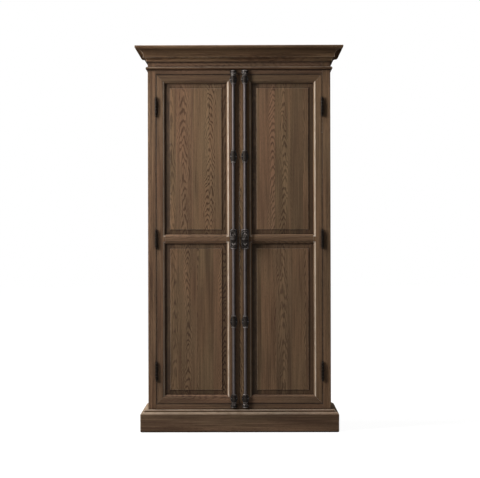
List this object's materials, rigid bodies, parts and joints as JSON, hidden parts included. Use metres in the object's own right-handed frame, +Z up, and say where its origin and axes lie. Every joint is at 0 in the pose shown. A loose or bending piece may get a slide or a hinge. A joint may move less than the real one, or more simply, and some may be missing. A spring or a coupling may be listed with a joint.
{
  "type": "bar armoire",
  "caption": "Tall oak bar armoire: paired raised-panel doors on butt hinges with surface cremone bolts, coved crown, moulded plinth, and bottle bins, mirror and stemware rack inside",
  "frame": {"origin": "on the floor under the middle of the whole, at the middle of the box round it", "axes": "+Z up, -Y out of the doors to the front, +X to the right as seen from the front"},
  "size_m": [1.232, 0.634, 2.286],
  "materials": {
    "oak_frame": "weathered brown oak, waxed, worn arrises",
    "oak_panel": "weathered brown oak planks, glued up, waxed",
    "oak_moulding": "weathered brown oak mouldings, waxed",
    "oak_case": "weathered brown oak boards, waxed",
    "oak_interior": "brown oak boards, satin",
    "dark_iron": "dark cast iron, rubbed bright on the high spots",
    "plain_steel": "plain turned steel",
    "mirror_glass": "silvered glass"
  },
  "bodies": {
    "case": {"left_face_stile": "oak_frame", "left_side_panel": "oak_case", "crown_left_return": "oak_moulding", "plinth_left_return": "oak_moulding", "right_face_stile": "oak_frame", "right_side_panel": "oak_case", "crown_right_return": "oak_moulding", "plinth_right_return": "oak_moulding", "face_top_rail": "oak_frame", "face_bottom_rail": "oak_frame", "crown_front": "oak_moulding", "neck_bead": "oak_moulding", "plinth_front": "oak_moulding", "crown_cap_board": "oak_case", "back_boards": "oak_case", "plinth_back_rail": "oak_case", "bottom_board": "oak_interior", "top_board": "oak_interior", "bottle_shelf": "oak_interior", "counter_shelf": "oak_interior", "stemware_shelf": "oak_interior", "adjustable_shelf": "oak_interior", "bottle_dividers": "oak_interior", "stemware_rails": "oak_interior", "hinge_frame_leaves": "dark_iron", "hinge_pins": "dark_iron", "bolt_keepers": "dark_iron", "case_screws": "dark_iron", "shelf_pins": "plain_steel", "mirror_panel": "mirror_glass"},
    "left_door": {"left_hinge_stile": "oak_frame", "left_meeting_stile": "oak_frame", "left_top_rail": "oak_frame", "left_middle_rail": "oak_frame", "left_bottom_rail": "oak_frame", "left_upper_panel": "oak_panel", "left_lower_panel": "oak_panel", "left_hinge_leaves": "dark_iron", "left_bolt_guides": "dark_iron", "left_bolt_case": "dark_iron", "left_door_screws": "dark_iron"},
    "right_door": {"right_hinge_stile": "oak_frame", "right_meeting_stile": "oak_frame", "right_top_rail": "oak_frame", "right_middle_rail": "oak_frame", "right_bottom_rail": "oak_frame", "right_upper_panel": "oak_panel", "right_lower_panel": "oak_panel", "right_hinge_leaves": "dark_iron", "right_bolt_guides": "dark_iron", "right_bolt_case": "dark_iron", "right_door_screws": "dark_iron"},
    "left_bolt_knob": {"left_knob": "dark_iron", "left_pinion": "plain_steel"},
    "left_bolt_upper_rod": {"left_upper_rod": "dark_iron"},
    "left_bolt_lower_rod": {"left_lower_rod": "dark_iron"},
    "right_bolt_knob": {"right_knob": "dark_iron", "right_pinion": "plain_steel"},
    "right_bolt_upper_rod": {"right_upper_rod": "dark_iron"},
    "right_bolt_lower_rod": {"right_lower_rod": "dark_iron"}
  },
  "joints": [
    {"name": "left_door_hinge", "type": "hinge", "parent": "case", "child": "left_door", "pos_m": [-0.49275, -0.2501, 1.14275], "axis": [0, 0, -1], "range_deg": [0, 170]},
    {"name": "left_knob_turn", "type": "hinge", "parent": "left_door", "child": "left_bolt_knob", "pos_m": [-0.034, -0.2525, 1.14275], "axis": [0, -1, 0], "range_deg": [0, 90]},
    {"name": "left_upper_rod_slide", "type": "slide", "parent": "left_door", "child": "left_bolt_upper_rod", "axis": [0, 0, 1], "range_m": [0, 0.01414]},
    {"name": "left_lower_rod_slide", "type": "slide", "parent": "left_door", "child": "left_bolt_lower_rod", "axis": [0, 0, -1], "range_m": [0, 0.01414]},
    {"name": "right_door_hinge", "type": "hinge", "parent": "case", "child": "right_door", "pos_m": [0.49275, -0.2501, 1.14275], "axis": [0, 0, 1], "range_deg": [0, 170]},
    {"name": "right_knob_turn", "type": "hinge", "parent": "right_door", "child": "right_bolt_knob", "pos_m": [0.034, -0.2525, 1.14275], "axis": [0, 1, 0], "range_deg": [0, 90]},
    {"name": "right_upper_rod_slide", "type": "slide", "parent": "right_door", "child": "right_bolt_upper_rod", "axis": [0, 0, 1], "range_m": [0, 0.01414]},
    {"name": "right_lower_rod_slide", "type": "slide", "parent": "right_door", "child": "right_bolt_lower_rod", "axis": [0, 0, -1], "range_m": [0, 0.01414]}
  ],
  "couplings": [
    {"joint": "left_knob_turn", "follows": "left_upper_rod_slide", "rad_per_m": 111.11},
    {"joint": "left_lower_rod_slide", "follows": "left_upper_rod_slide", "ratio": 1},
    {"joint": "right_knob_turn", "follows": "right_upper_rod_slide", "rad_per_m": 111.11},
    {"joint": "right_lower_rod_slide", "follows": "right_upper_rod_slide", "ratio": 1}
  ]
}
